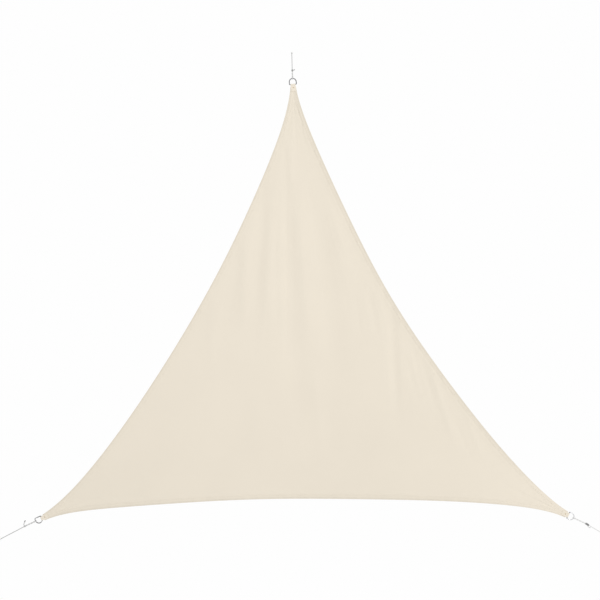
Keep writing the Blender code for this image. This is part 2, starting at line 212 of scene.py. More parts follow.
# Route of each rope's free end, from the knot's middle: metres along the rope's course, metres across it.
TAIL_ROUTES = {
    "top": ((0.0015, -0.0075), (0.0020, -0.0115), (0.0028, -0.0186)),
    "left": ((0.0010, -0.0075), (-0.0008, -0.0150), (-0.0105, -0.0245), (-0.0225, -0.0350)),
    "right": ((0.0105, -0.0073), (0.011, -0.0098), (0.015, -0.0118), (0.0225, -0.0112), (0.0305, -0.0100)),
}

# Tone of each rope, from 0, dark, to 1, pale: its single stretch, its twisted one and its knots, where a
# darker knot is painted shade between its tight turns. And the length of the dark melted stretch at its free
# end.
RopeTones = namedtuple("RopeTones", "single twisted knot stopper sealed")
ROPE_TONES = {
    "top": RopeTones(0.54, 0.80, 0.45, 1.00, 0.0030),
    "left": RopeTones(0.52, 0.80, 0.70, 0.60, 0.0110),
    "right": RopeTones(0.88, 1.00, 0.20, 0.88, 0.0030),
}

# The hollow edges: an even inward sag, an extra that comes in close to the tips, a lean to one end, and two
# slow waves along the edge.
Edge = namedtuple("Edge", "start end start_side end_side hollow pinch pinch_power lean sway swell")
EDGES = {
    "left": Edge("top", "left", 0, 1, 0.1634, 0.053, 9.4, 0.009, -0.0015, 0.0),
    "right": Edge("top", "right", 1, 0, 0.2062, 0.0241, 16.0, 0.0215, -0.0032, 0.0040),
    "bottom": Edge("left", "right", 0, 1, 0.0932, 0.0465, 13.0, 0.0115, -0.0035, 0.0001),
}

# Creases, a row each. A positive depth is a trough, away from whoever faces the sail. The main ones are in
# the CAD model too, and the lesser ones are too fine for it.
Crease = namedtuple("Crease", "top_x top_z foot_x foot_z top_width foot_width depth")
MAIN_CREASES = (
    Crease(-0.170, -0.700, -0.268, -2.100, 0.046, 0.052, 0.0075),
    Crease(-0.045, -0.720, 0.045, -2.800, 0.032, 0.100, 0.0080),
    Crease(0.150, -0.820, 0.335, -2.500, 0.058, 0.090, 0.0080),
    Crease(0.668, -1.580, 0.728, -2.660, 0.030, 0.034, 0.0060),
    Crease(-0.140, -0.860, -0.180, -2.060, 0.048, 0.048, -0.0035),
    Crease(0.045, -0.880, 0.110, -2.080, 0.046, 0.046, -0.0040),
    Crease(0.290, -1.020, 0.400, -1.750, 0.060, 0.060, -0.0050),
)
LESSER_CREASES = (
    Crease(-0.050, -0.560, -0.030, -1.040, 0.017, 0.018, 0.0016),
    Crease(-0.016, -0.560, -0.002, -0.960, 0.024, 0.024, -0.0022),
    Crease(-0.040, -0.820, -0.030, -2.300, 0.012, 0.014, 0.0013),
    Crease(-0.108, -0.960, -0.104, -2.060, 0.019, 0.019, 0.0011),
    Crease(-0.076, -0.960, -0.072, -2.060, 0.022, 0.022, -0.0012),
    Crease(-0.312, -1.180, -0.335, -1.900, 0.034, 0.034, -0.0036),
    Crease(-0.374, -1.220, -0.430, -2.020, 0.050, 0.056, 0.0036),
    Crease(-0.505, -1.600, -0.575, -2.300, 0.046, 0.048, -0.0036),
    Crease(0.521, -1.560, 0.595, -2.000, 0.026, 0.026, 0.0030),
    Crease(0.431, -1.600, 0.473, -2.000, 0.028, 0.028, 0.0020),
    Crease(0.625, -1.500, 0.650, -1.880, 0.014, 0.016, 0.0018),
    Crease(0.694, -1.620, 0.740, -2.640, 0.026, 0.032, 0.0025),
    Crease(0.775, -2.040, 0.880, -2.460, 0.018, 0.020, 0.0018),
    Crease(0.815, -1.960, 0.945, -2.480, 0.018, 0.020, 0.0020),
    Crease(0.875, -2.060, 1.000, -2.500, 0.018, 0.020, 0.0020),
    Crease(0.915, -2.050, 1.150, -2.780, 0.022, 0.028, -0.0038),
    Crease(1.165, -2.400, 1.330, -2.840, 0.020, 0.024, -0.0022),
    Crease(0.150, -2.120, 0.215, -2.900, 0.052, 0.058, -0.0038),
    Crease(-0.225, -2.280, -0.235, -2.960, 0.066, 0.070, -0.0034),
    Crease(0.060, -0.600, 0.150, -1.300, 0.030, 0.036, 0.0014),
    Crease(1.110, -2.500, 1.260, -2.860, 0.024, 0.028, 0.0020),
)


# --- places and directions ---


def direction(degrees):
    """Unit vector in the plane of the sail."""
    return np.array((np.cos(radians(degrees)), 0.0, np.sin(radians(degrees))))


def heading(start, end):
    """Degrees from +X towards +Z of the way from start to end."""
    return np.degrees(np.arctan2(end[2] - start[2], end[0] - start[0]))


def local_points(origin, degrees, along, across, depth):
    """Points given along a heading, across it (a quarter turn on) and in depth, from an origin."""
    places = np.stack(np.broadcast_arrays(along, across, depth), axis=-1)
    return origin + places @ np.stack((direction(degrees), direction(degrees + 90), DEPTH_WAY))


def corner_named(name):
    return next(c for c in CORNERS if c.name == name)


def in_plane(place):
    """A point in the plane of the tips, from its (x, z)."""
    return np.array((place[0], 0.0, place[1]))


def ring_centre(corner):
    hold = BAR_DROP if corner.held_by == "bar" else RING_RADIUS
    return in_plane(corner.tip) + (ROD_STANDOFF + hold) * direction(corner.pull)


def smooth_step(x):
    """x^2 (3 - 2x): from 0 to 1, as x goes from 0 to 1, with soft ends."""
    x = np.clip(x, 0, 1)
    return x * x * (3 - 2 * x)


def bell(x):
    """exp(-x^2)."""
    return np.exp(-(x**2))


def unit(ways):
    """The same ways, each 1 long."""
    return ways / np.linalg.norm(ways, axis=-1, keepdims=True)


def smooth_curve(points, step):
    """A curve through the points, read at about one point every step: between two of them a cubic, whose
    slope at each is half the way from the point before it to the one after."""
    points = np.asarray(points, float)
    padded = np.vstack((2 * points[0] - points[1], points, 2 * points[-1] - points[-2]))
    pieces = []
    for before, start, end, after in zip(padded, padded[1:], padded[2:], padded[3:]):
        count = max(2, int(round(np.linalg.norm(end - start) / step)))
        t = np.linspace(0, 1, count, endpoint=False)[:, None]
        square = 2 * before - 5 * start + 4 * end - after
        cube = 3 * start - before - 3 * end + after
        pieces.append(0.5 * (2 * start + (end - before) * t + square * t**2 + cube * t**3))
    return np.vstack(pieces + [points[-1:]])


def distances(path):
    """How far along a path each of its points lies."""
    steps = np.linalg.norm(np.diff(path, axis=0), axis=1)
    return np.concatenate(([0.0], np.cumsum(steps)))


def even_path(path, step):
    """The same path, read at even steps of its length."""
    run = distances(path)
    even = np.linspace(0, run[-1], max(3, int(round(run[-1] / step)) + 1))
    return np.column_stack([np.interp(even, run, path[:, axis]) for axis in range(3)])


# --- making meshes ---


def grid_corners(rows, columns, around, end_to_end=False):
    """Rows and columns of the four corners of each quad of a grid, not yet wrapped round."""
    i, j = np.meshgrid(
        np.arange(rows if end_to_end else rows - 1),
        np.arange(columns if around else columns - 1),
        indexing="ij",
    )
    corner_rows = np.stack((i, i, i + 1, i + 1), axis=-1).reshape(-1, 4)
    corner_columns = np.stack((j, j + 1, j + 1, j), axis=-1).reshape(-1, 4)
    return corner_rows, corner_columns


def enclosed_volume(vertices, quads):
    """Sum of the tetrahedra from the middle of the shape to each half of each quad."""
    p = (vertices - vertices.mean(axis=0))[quads]
    halves = np.cross(p[:, 1], p[:, 2]) + np.cross(p[:, 2], p[:, 3])
    return float(np.sum(p[:, 0] * halves)) / 6


def put_in_scene(name, data):
    made = bpy.data.objects.new(name, data)
    bpy.context.collection.objects.link(made)
    return made


def add_piece(name, vertices, faces, finish, uv=None, shades=None):
    """An object whose place is in its mesh. uv has one pair for each face corner, and shades one number
    for each vertex, under the attribute's name."""
    mesh = bpy.data.meshes.new(name)
    mesh.from_pydata(vertices.tolist(), [], faces)
    if uv is not None:
        mesh.uv_layers.new(name="UVMap").uv.foreach_set("vector", uv.astype(np.float32).ravel())
    for label, values in (shades or {}).items():
        attribute = mesh.attributes.new(label, "FLOAT", "POINT")
        attribute.data.foreach_set("value", values.astype(np.float32).ravel())
    mesh.shade_smooth()
    mesh.set_sharp_from_angle(angle=SHARP_ANGLE)
    mesh.materials.append(finish)
    piece = put_in_scene(name, mesh)
    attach(piece, "root")
    return piece


def tube_faces(vertices, rows, sides, closed=False):
    """The quads of a skin over rings of points, with the row and column of each of their corners, and
    the end face of the first ring and of the last. All of them face outwards."""
    corner_rows, corner_columns = grid_corners(rows, sides, around=True, end_to_end=closed)
    quads = (corner_rows % rows) * sides + corner_columns % sides
    first, last = np.arange(sides)[::-1], np.arange((rows - 1) * sides, rows * sides)
    if enclosed_volume(vertices, quads) < 0:
        quads, corner_rows, corner_columns = (each[:, ::-1] for each in (quads, corner_rows, corner_columns))
        first, last = first[::-1], last[::-1]
    return quads, corner_rows, corner_columns, first, last


def add_tube(name, grid, run, finish, closed=False, girth=1.0, shades=None):
    """A closed skin over rings of points, ring by ring along the run. An open tube gets an end face at
    each end. U goes once round, from 0 to the girth, and V is the run in metres."""
    rows, sides = grid.shape[:2]
    vertices = grid.reshape(-1, 3)
    quads, corner_rows, corner_columns, first, last = tube_faces(vertices, rows, sides, closed)
    along = np.append(run, 2 * run[-1] - run[-2])
    uv = np.stack((corner_columns * girth / sides, along[corner_rows]), axis=-1).reshape(-1, 2)
    faces = quads.tolist()
    if not closed:
        faces += [first.tolist(), last.tolist()]
        ends = np.zeros((2 * sides, 2))
        ends[sides:, 1] = run[-1]
        uv = np.vstack((uv, ends))
    return add_piece(name, vertices, faces, finish, uv, shades)


def tube_grid(path, reference, radius, sides, closed=False):
    """Rings of points round a path, in the plane of two unit vectors that are square to it: the reference
    less its share along the path, and the one square to that. Their radius is an array of one or more
    numbers for each ring."""
    if closed:
        tangent = np.roll(path, -1, axis=0) - np.roll(path, 1, axis=0)
    else:
        tangent = np.gradient(path, axis=0)
    tangent = unit(tangent)
    first = unit(reference - (tangent @ reference)[:, None] * tangent)
    second = np.cross(tangent, first)
    angle = 2 * pi * np.arange(sides) / sides
    ring = np.cos(angle)[None, :, None] * first[:, None] + np.sin(angle)[None, :, None] * second[:, None]
    return path[:, None] + np.broadcast_to(radius, (len(path), sides))[..., None] * ring


# --- finishes ---


def add_node(finish, kind, output, inputs, **settings):
    """The named output of a new node. An input that is a socket is linked, any other is a fixed value."""
    tree = finish.node_tree
    made = tree.nodes.new(f"ShaderNode{kind}")
    for name, value in settings.items():
        setattr(made, name, value)
    for name, value in inputs.items():
        if isinstance(value, bpy.types.NodeSocket):
            tree.links.new(value, made.inputs[name])
        else:
            made.inputs[name].default_value = value
    return made.outputs[output]


def new_finish(name, roughness=0.5, metallic=0.0, sheen=0.0, specular=0.5):
    made = bpy.data.materials.new(name)
    made.use_nodes = True
    shader = made.node_tree.nodes["Principled BSDF"]
    labels = ("Roughness", "Metallic", "Sheen Weight", "Specular IOR Level")
    for label, value in zip(labels, (roughness, metallic, sheen, specular)):
        shader.inputs[label].default_value = value
    return made, shader


def object_place(finish):
    return add_node(finish, "TexCoord", "Object", {})


def held(finish, label):
    """What a piece's attribute says."""
    return add_node(finish, "Attribute", "Fac", {}, attribute_name=label)


def blended_colour(finish, share, low, high):
    """The colour low where the share is 0, and high where it is 1. Each is three numbers or a socket."""
    low, high = (c if isinstance(c, bpy.types.NodeSocket) else (*c, 1.0) for c in (low, high))
    return add_node(finish, "Mix", 2, {0: share, 6: low, 7: high}, data_type="RGBA")


def mottle(finish, coordinates, scale, detail, low, high):
    """Soft noise, spread from low to high."""
    noise = {"Vector": coordinates, "Scale": scale, "Detail": detail}
    noise = add_node(finish, "TexNoise", "Fac", noise)
    spread = {"Value": noise, "From Min": 0.3, "From Max": 0.7, "To Min": low, "To Max": high}
    return add_node(finish, "MapRange", "Result", spread)


def tinted(finish, colour, strength):
    """A colour multiplied by a number that varies over the surface."""
    return add_node(finish, "VectorMath", "Vector", {0: colour, "Scale": strength}, operation="SCALE")


def stripes(finish, coordinates, axis, period):
    """Even soft ridges across one axis, a period apart."""
    waves_a_metre = 20 / (2 * pi)
    inputs = {"Vector": coordinates, "Scale": 1 / (period * waves_a_metre)}
    return add_node(finish, "TexWave", "Fac", inputs, wave_type="BANDS", bands_direction=axis)


def dressed(finish, shader, colour, height, rise):
    """The finish with its colour, and with fine relief as bump: a height from 0 to 1, times the rise."""
    bump = add_node(finish, "Bump", "Normal", {"Height": height, "Distance": rise, "Strength": 1.0})
    finish.node_tree.links.new(bump, shader.inputs["Normal"])
    finish.node_tree.links.new(colour, shader.inputs["Base Color"])
    return finish


def cloth_finish():
    """Plain-woven cream polyester: crossing yarns as bump, faint clouding, and a darker, warmer tone held in
    the attribute "fold": partly the denser look of the hems' double layer, mostly painted shade along the
    hems and in broad bands over the cloth."""
    made, shader = new_finish("cream_cloth", roughness=0.85, sheen=0.08, specular=0.25)
    place = object_place(made)
    colour = blended_colour(made, held(made, "fold"), CLOTH_COLOUR, SHADE_AND_DENSITY_COLOUR)
    clouded = tinted(made, colour, mottle(made, place, 2.6, 3.0, 0.992, 1.008))
    warp, weft = (stripes(made, place, axis, YARN_PITCH) for axis in "XZ")
    crossing = add_node(made, "Math", "Value", {0: warp, 1: weft}, operation="MULTIPLY")
    return dressed(made, shader, clouded, crossing, YARN_HEIGHT)


def strap_finish():
    """Cream webbing: fine diagonal ribs as bump on its own UV, which is metres across and along."""
    made, shader = new_finish("cream_webbing", roughness=0.8, sheen=0.1, specular=0.3)
    place = add_node(made, "UVMap", "UV", {}, uv_map="UVMap")
    turned = add_node(made, "Mapping", "Vector", {"Vector": place, "Rotation": (0.0, 0.0, radians(45))})
    ribs = stripes(made, turned, "X", STRAP_RIB_PITCH)
    tone = mottle(made, place, 300.0, 2.0, 0.0, 1.0)
    colour = blended_colour(made, tone, STRAP_COLOUR, STRAP_SHADE)
    return dressed(made, shader, colour, ribs, STRAP_RIB_HEIGHT)


def rope_finish():
    """Pale grey braid. Its tone, from dark to pale, is held in "tone", and is painted shade where a knot is
    darker; the dips between its strands, held in "hollow", are darkened as painted shade, and its dark
    melted end is held in "sealed". Fine fibres are bump."""
    made, shader = new_finish("grey_braid", roughness=0.7, sheen=0.1, specular=0.3)
    fibre = mottle(made, object_place(made), 900.0, 3.0, 0.9, 1.08)
    clean = blended_colour(made, held(made, "tone"), ROPE_DARK, ROPE_PALE)
    # Painted shade in the dips between the strands.
    dip = {"Value": held(made, "hollow"), "To Min": 1.0, "To Max": ROPE_DIP_SHADE}
    braid = tinted(made, tinted(made, clean, fibre), add_node(made, "MapRange", "Result", dip))
    colour = blended_colour(made, held(made, "sealed"), braid, SEALED_COLOUR)
    return dressed(made, shader, colour, fibre, FIBRE_HEIGHT)


def steel_finish():
    """Steel whose dark and pale stretches, held in "pale", are painted reflections of the surroundings, with
    a faint bloom and fine scratches."""
    made, shader = new_finish("ring_steel", metallic=1.0)
    place = object_place(made)
    colour = blended_colour(made, held(made, "pale"), STEEL_DARK, STEEL_PALE)
    bloomed = tinted(made, colour, mottle(made, place, 90.0, 3.0, 0.85, 1.15))
    made.node_tree.links.new(mottle(made, place, 70.0, 3.0, 0.16, 0.42), shader.inputs["Roughness"])
    return dressed(made, shader, bloomed, mottle(made, place, 1500.0, 2.0, 0.0, 1.0), SCRATCH_DEPTH)


def thread_finish(name, colour):
    """Bonded sewing thread, its ply as fine noise."""
    made, shader = new_finish(name, roughness=0.5, sheen=0.1, specular=0.4)
    ply = mottle(made, object_place(made), 2500.0, 2.0, 0.0, 1.0)
    darker, lighter = (tuple(tone * part for part in colour) for tone in (0.85, 1.1))
    return dressed(made, shader, blended_colour(made, ply, darker, lighter), ply, PLY_HEIGHT)


# --- camera ---


def make_camera():
    """Square on to the sail, where one pixel of the photograph is PIXEL_SIZE of its plane."""
    middle = 0.5 * (PICTURE_SIDE - 1)
    data = bpy.data.cameras.new("camera")
    data.sensor_width = SENSOR
    data.lens = SENSOR * CAMERA_DISTANCE / (PICTURE_SIDE * PIXEL_SIZE)
    data.clip_end = 100.0
    camera = put_in_scene("camera", data)
    across = (middle - ORIGIN_PIXEL[0]) * PIXEL_SIZE
    up = (ORIGIN_PIXEL[1] - middle) * PIXEL_SIZE
    camera.location = (across, -CAMERA_DISTANCE, up)
    camera.rotation_euler = (radians(90), 0.0, 0.0)
    bpy.context.scene.camera = camera


make_camera()


# --- ropes ---


def braid_height(around, along):
    """Height of the braid, from 0 to 1: the root of the product of two sets of sine ridges that wind
    round the rope in opposite ways."""
    one = np.sin(pi * (BRAID_STRANDS * around + along / BRAID_LENGTH))
    other = np.sin(pi * (BRAID_STRANDS * around - along / BRAID_LENGTH))
    return np.sqrt(np.abs(one * other))


def add_braid(name, path, reference, diameter, finish, tone, sealed):
    """A braided rope along a path: a tube whose radius dips between the strands. Its tone is one number
    or a function of the distance along it. The end is rounded as a half circle where the rope is melted
    shut, and dark over the sealed length, which is a little thicker."""
    path = even_path(path, ROPE_STEP)
    run = distances(path)
    around = np.arange(ROPE_SIDES) / ROPE_SIDES
    height = braid_height(around[None], run[:, None])
    radius = 0.5 * diameter * (1 + BRAID_DEPTH * (height - BRAID_MIDDLE))
    melted = np.zeros_like(radius)
    if sealed:
        left = run[-1] - run
        ball = np.sqrt(1 - np.clip(1 - left / (END_ROUNDING * diameter), 0, 0.97) ** 2)
        melted += smooth_step((sealed - left) / SEALED_FADE + 0.5)[:, None]
        radius = radius * ball[:, None] * (1 + SEALED_SWELL * melted)
    along_tones = tone(run) if callable(tone) else np.full(len(run), tone)
    tones = np.repeat(along_tones[:, None], ROPE_SIDES, axis=1)
    grid = tube_grid(path, reference, radius, ROPE_SIDES)
    shades = {"hollow": 1 - height, "sealed": melted, "tone": tones}
    return add_tube(name, grid, run, finish, shades=shades), path


def strand_path(corner, side, short_of=0.0):
    """From the rod to the knot's middle, or to a way short of it: a helix that closes in from the rod's
    width to the twist, and then to the middle of the rope. Side is -1 for the strand in front at the rod,
    1 for the one behind."""
    centre, knot = ring_centre(corner), in_plane(corner.knot)
    span = np.linalg.norm(knot - centre)
    along = np.arange(RING_RADIUS, span - short_of, ROPE_STEP)
    settle = smooth_step((along - RING_RADIUS) / CLOSING_LENGTH)
    radius = WRAP_RADIUS + (TWIST_RADIUS - WRAP_RADIUS) * settle
    radius = radius * smooth_step((span - along) / (0.5 * corner.knot_length))
    angle = 2 * pi * (along - RING_RADIUS) / TWIST_PITCH * settle
    across, depth = -side * radius * np.sin(angle), side * radius * np.cos(angle)
    return local_points(centre, heading(centre, knot), along, across, depth)


def eased(path, reach):
    """The same path with softer bends: each point is the weighted mean of all within reach along it,
    and both ends stay."""
    path = even_path(path, ROPE_STEP)
    count = int(reach / ROPE_STEP)
    before = 2 * path[0] - path[count:0:-1]
    after = 2 * path[-1] - path[-2 : -count - 2 : -1]
    padded = np.vstack((before, path, after))
    weights = np.hanning(2 * count + 3)[1:-1]
    weights /= weights.sum()
    return np.column_stack([np.convolve(padded[:, axis], weights, "valid") for axis in range(3)])


def return_path(corner):
    """The strand behind, until a little short of the knot's middle, and then out of the knot along the
    route of the free end."""
    knot = in_plane(corner.knot)
    strand = strand_path(corner, 1, short_of=TURN_OFF)
    route = np.array(TAIL_ROUTES[corner.name])
    out = local_points(knot, heading(knot, in_plane(corner.anchor)), route[:, 0], route[:, 1], 0.0)
    tail = smooth_curve(np.vstack((strand[-1:], out)), ROPE_STEP)
    kept = int(BEND_EASING / ROPE_STEP)
    return np.vstack((strand[:-kept], eased(np.vstack((strand[-kept:-1], tail)), BEND_EASING)))


def bight_path(corner):
    """Half a turn round the rod, from the strand in front to the one behind."""
    turn = np.linspace(0, pi, 41)
    centre = ring_centre(corner)
    along, depth = RING_RADIUS - WRAP_RADIUS * np.sin(turn), -WRAP_RADIUS * np.cos(turn)
    return local_points(centre, heading(centre, in_plane(corner.knot)), along, 0.0, depth)


def wrap_path(centre, course, length, radius):
    """Close turns round the course, from one end of the knot to the other. Both ends dive inwards."""
    turns = max(2, int((length - WRAP_DIAMETER) / WRAP_DIAMETER + 0.5))
    share = np.linspace(0, 1, KNOT_TURN_POINTS * turns + 1)
    dive = smooth_step(np.minimum(share, 1 - share) * turns * 4)
    angle = 2 * pi * turns * share
    along = (share - 0.5) * (length - WRAP_DIAMETER)
    out = radius * (KNOT_DIVE + (1 - KNOT_DIVE) * dive)
    return local_points(centre, course, along, out * np.cos(angle), out * np.sin(angle))


def make_ropes(corner, finish):
    """The rope from the rod through its knot to the anchor, and its other half from the rod to the knot
    and out of it as the free end, with the half turn that joins them and both knots."""
    centre, knot, anchor = ring_centre(corner), in_plane(corner.knot), in_plane(corner.anchor)
    course = heading(knot, anchor)
    tones = ROPE_TONES[corner.name]
    knot_starts = np.linalg.norm(knot - centre) - RING_RADIUS

    def line_tone(run):
        past_knot = smooth_step((run - knot_starts) / 0.01 + 0.5)
        return tones.twisted + (tones.single - tones.twisted) * past_knot

    def braid(part, node, path, reference, tone, diameter=ROPE_DIAMETER, sealed=0.0):
        made, way = add_braid(f"{part}_{corner.name}", path, reference, diameter, finish, tone, sealed)
        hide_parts(f"{node}_{corner.name}")
        return made, way

    reach = np.linalg.norm(anchor - knot) + 0.5 * END_KNOT_LENGTH
    straight = local_points(knot, course, np.arange(0, reach, ROPE_STEP), 0.0, 0.0)
    outward = np.vstack((strand_path(corner, -1), straight))
    line, line_way = braid("line", "rope", outward, DEPTH_WAY, line_tone, sealed=SEALED_TIP)
    tail = return_path(corner)
    back, back_way = braid("line_return", "rope_tail", tail, DEPTH_WAY, line_tone, sealed=tones.sealed)
    turn, across = bight_path(corner), direction(heading(centre, knot) + 90)
    bight, _ = braid("line_bight", "rope_turn", turn, across, tones.twisted)
    wraps, way = wrap_path(knot, course, corner.knot_length, KNOT_WRAP_RADIUS), direction(course)
    # A darker knot tone is painted shade between its tight turns.
    tied, _ = braid("line_knot", "knot", wraps, way, tones.knot, WRAP_DIAMETER)
    wraps = wrap_path(anchor, course, END_KNOT_LENGTH, STOPPER_WRAP_RADIUS)
    stopper, _ = braid("stopper_knot", "end_knot", wraps, way, tones.stopper, STOPPER_WRAP_DIAMETER)


BRAID = rope_finish()
for each in CORNERS:
    make_ropes(each, BRAID)


# --- cloth ---


def tip_ends(name):
    """Both ends of the cut that ends a tip: the one a quarter turn on from the pull, and the other."""
    corner = corner_named(name)
    half = 0.5 * corner.tip_width * direction(corner.pull + 90)
    return in_plane(corner.tip) + half, in_plane(corner.tip) - half


def edge_chord(name):
    """Where an edge's chord starts, its run to the end, and the unit way inwards, as (x, z)."""
    edge = EDGES[name]
    start = tip_ends(edge.start)[edge.start_side][[0, 2]]
    run = tip_ends(edge.end)[edge.end_side][[0, 2]] - start
    middle = np.mean([c.tip for c in CORNERS], axis=0)
    inward = np.array((-run[1], run[0])) / np.hypot(*run)
    return start, run, inward * np.sign(inward @ (middle - start))


def edge_span(name):
    return np.hypot(*edge_chord(name)[1])


def edge_sag(name, t):
    """pinch (1 - |w|^power) + (1 - w^2) (hollow + lean w + sway sin 2 pi w + swell cos 2 pi w), with w from
    -1 to 1 along the chord, and how steeply it changes with t."""
    edge = EDGES[name]
    w = 2 * np.clip(t, 0, 1) - 1
    power = edge.pinch_power
    sine, cosine = np.sin(2 * pi * w), np.cos(2 * pi * w)
    inner = edge.hollow + edge.lean * w + edge.sway * sine + edge.swell * cosine
    inner_slope = edge.lean + 2 * pi * (edge.sway * cosine - edge.swell * sine)
    sag = edge.pinch * (1 - np.abs(w) ** power) + (1 - w**2) * inner
    slope = (1 - w**2) * inner_slope - 2 * w * inner
    slope = slope - power * edge.pinch * np.sign(w) * np.abs(w) ** (power - 1)
    return sag, 2 * slope


def edge_line(name, t):
    """Points of a curved edge, as (x, z)."""
    start, run, inward = edge_chord(name)
    return start + t[:, None] * run + edge_sag(name, t)[0][:, None] * inward


def edge_inward(name, t):
    """Unit ways inwards, square to the curve, and turned to the line of the cut close to each tip."""
    _, run, inward = edge_chord(name)
    edge = EDGES[name]
    span = np.hypot(*run)
    lean = edge_sag(name, t)[1][:, None] / span
    way = inward - lean * run / span
    for tip, share in ((edge.start, t), (edge.end, 1 - t)):
        corner = corner_named(tip)
        cut = direction(corner.pull + 90)[[0, 2]]
        cut = cut * np.sign(cut @ inward)
        near = 1 - smooth_step(share[:, None] * span / TIP_TURN)
        way = unit(way) * (1 - near) + cut * near
    return unit(way)


def edge_coordinates(name, x, z):
    """t along an edge's chord, and the distance in from the curve: the height over the chord less the
    sag there, times the cosine of the curve's slope."""
    start, run, inward = edge_chord(name)
    span = np.hypot(*run)
    t = ((x - start[0]) * run[0] + (z - start[1]) * run[1]) / span**2
    height = (x - start[0]) * inward[0] + (z - start[1]) * inward[1]
    sag, slope = edge_sag(name, t)
    return t, (height - sag) / np.hypot(1, slope / span)


# Puckers: small leaf-like pinches beside each seam. One row for each edge.
#   spacing   between one pucker and the next
#   height    of the strongest
#   swell     slower waves of the hem itself
#   seed      for their uneven places, sizes and turns
Puckers = namedtuple("Puckers", "spacing height swell seed")
PUCKER_INSET = 0.027  # from the cloth's edge to the line that the puckers lie about
UNPUCKERED = 0.03  # from each end of the edge
PUCKERED = 0.12  # from there to where they are at their full height
PUCKERS = {
    "left": Puckers(0.085, 0.0011, 0.0010, 5),
    "right": Puckers(0.110, 0.0024, 0.0016, 11),
    "bottom": Puckers(0.100, 0.0010, 0.0008, 23),
}


def pucker_relief(name, x, z):
    """Each pucker is a height times exp(-(a / length)^2 - (b / width)^2), with a along its own line and
    b across it. The hem swells in slow sine waves that die away inwards."""
    puckers = PUCKERS[name]
    t, inset = edge_coordinates(name, x, z)
    span = edge_span(name)
    along = t * span
    chance = np.random.default_rng(puckers.seed)
    count = int(span / puckers.spacing)
    place = (np.arange(count) + 0.5 + chance.uniform(-0.35, 0.35, count)) * puckers.spacing
    depth_in = PUCKER_INSET + chance.uniform(-0.006, 0.009, count)
    turn = chance.uniform(0.04, 0.24, count) * (1 if name == "right" else -1)
    height = -puckers.height * chance.uniform(0.25, 1.0, count) ** 1.5
    length = chance.uniform(0.020, 0.042, count)
    width = chance.uniform(0.0055, 0.0095, count)
    depth = np.zeros_like(x)
    near = inset < BORDER
    for k in range(count):
        reach = near & (np.abs(along - place[k]) < 3 * length[k])
        a = along[reach] - place[k]
        b = inset[reach] - depth_in[k] - turn[k] * a
        depth[reach] += height[k] * np.exp(-((a / length[k]) ** 2) - (b / width[k]) ** 2)
    waves = np.sin(2 * pi * along / (1.27 * puckers.spacing) + puckers.seed)
    waves = waves + 0.7 * np.sin(2 * pi * along / (0.71 * puckers.spacing) + 2 * puckers.seed)
    depth += puckers.swell * 0.5 * waves * bell((inset - 0.010) / 0.022)
    for away in (along, span - along):
        depth = depth * smooth_step((away - UNPUCKERED) / PUCKERED)
    return depth * smooth_step((0.94 * BORDER - inset) / 0.02)


# How much darker each hem is painted.
#   edge      painted shade over its rolled edge
#   body      the denser look of the folded double layer, with painted shade
#   seam      painted shade added along its seam's groove
#   inside    painted shadow on the single cloth beside it
#   at_start  share that is left at the tip where the edge starts; below 0, the tone clears sooner
#   at_end    and at the tip where it ends
HemTones = namedtuple("HemTones", "edge body seam inside at_start at_end")
HEM_TONES = {
    "left": HemTones(0.64, 0.0, 0.10, 0.06, 1.0, 1.1),
    "right": HemTones(0.95, 0.26, 0.26, 0.15, 1.4, -0.3),
    "bottom": HemTones(0.72, 0.06, 0.26, 0.0, 1.0, -0.3),
}
HEM_TONE_REACH = 0.40  # how far from a tip its share is felt
ROLLED_SHARE = 0.6  # of that change, over the rolled edge


# Gathers: fine folds that fan out from each tip.
#   reach    how far they run
#   folds    a radian of the fan
#   height   half of what they rise
#   phase    of the first fold, in radians
Gathers = namedtuple("Gathers", "reach folds height phase")
GATHERS = {
    "top": Gathers(0.42, 7.0, 0.0007, 2.2),
    "left": Gathers(0.30, 6.0, 0.0008, 1.9),
    "right": Gathers(0.30, 6.0, 0.0008, 0.0),
}


def gather_relief(name, x, z):
    """Height times a cosine of the angle round the tip, made uneven by a faster one, strongest a hand's
    width from the tip and dying away over the reach."""
    corner, gathers = corner_named(name), GATHERS[name]
    x, z = x - corner.tip[0], z - corner.tip[1]
    away, angle = np.hypot(x, z), np.arctan2(z, x) - radians(corner.pull + 180)
    angle = (angle + pi) % (2 * pi) - pi
    folds = np.cos(2 * pi * gathers.folds * angle + gathers.phase)
    folds = folds + 0.6 * np.cos(2 * pi * 1.63 * gathers.folds * angle + 2.1 * gathers.phase)
    return gathers.height * folds * (smooth_step((away - 0.05) / 0.10) * bell(away / gathers.reach))


def crease_relief(crease, x, z):
    """Depth times exp(-(across / width)^2), with soft ends and a width that changes evenly from the
    top of the crease to its foot."""
    run_x, run_z = crease.foot_x - crease.top_x, crease.foot_z - crease.top_z
    length = np.hypot(run_x, run_z)
    along = ((x - crease.top_x) * run_x + (z - crease.top_z) * run_z) / length**2
    across = ((x - crease.top_x) * run_z - (z - crease.top_z) * run_x) / length
    width = crease.top_width + (crease.foot_width - crease.top_width) * np.clip(along, 0, 1)
    ends = smooth_step(along / CREASE_FADE_IN) * smooth_step((1 - along) / CREASE_FADE_OUT)
    return crease.depth * ends * bell(across / width)


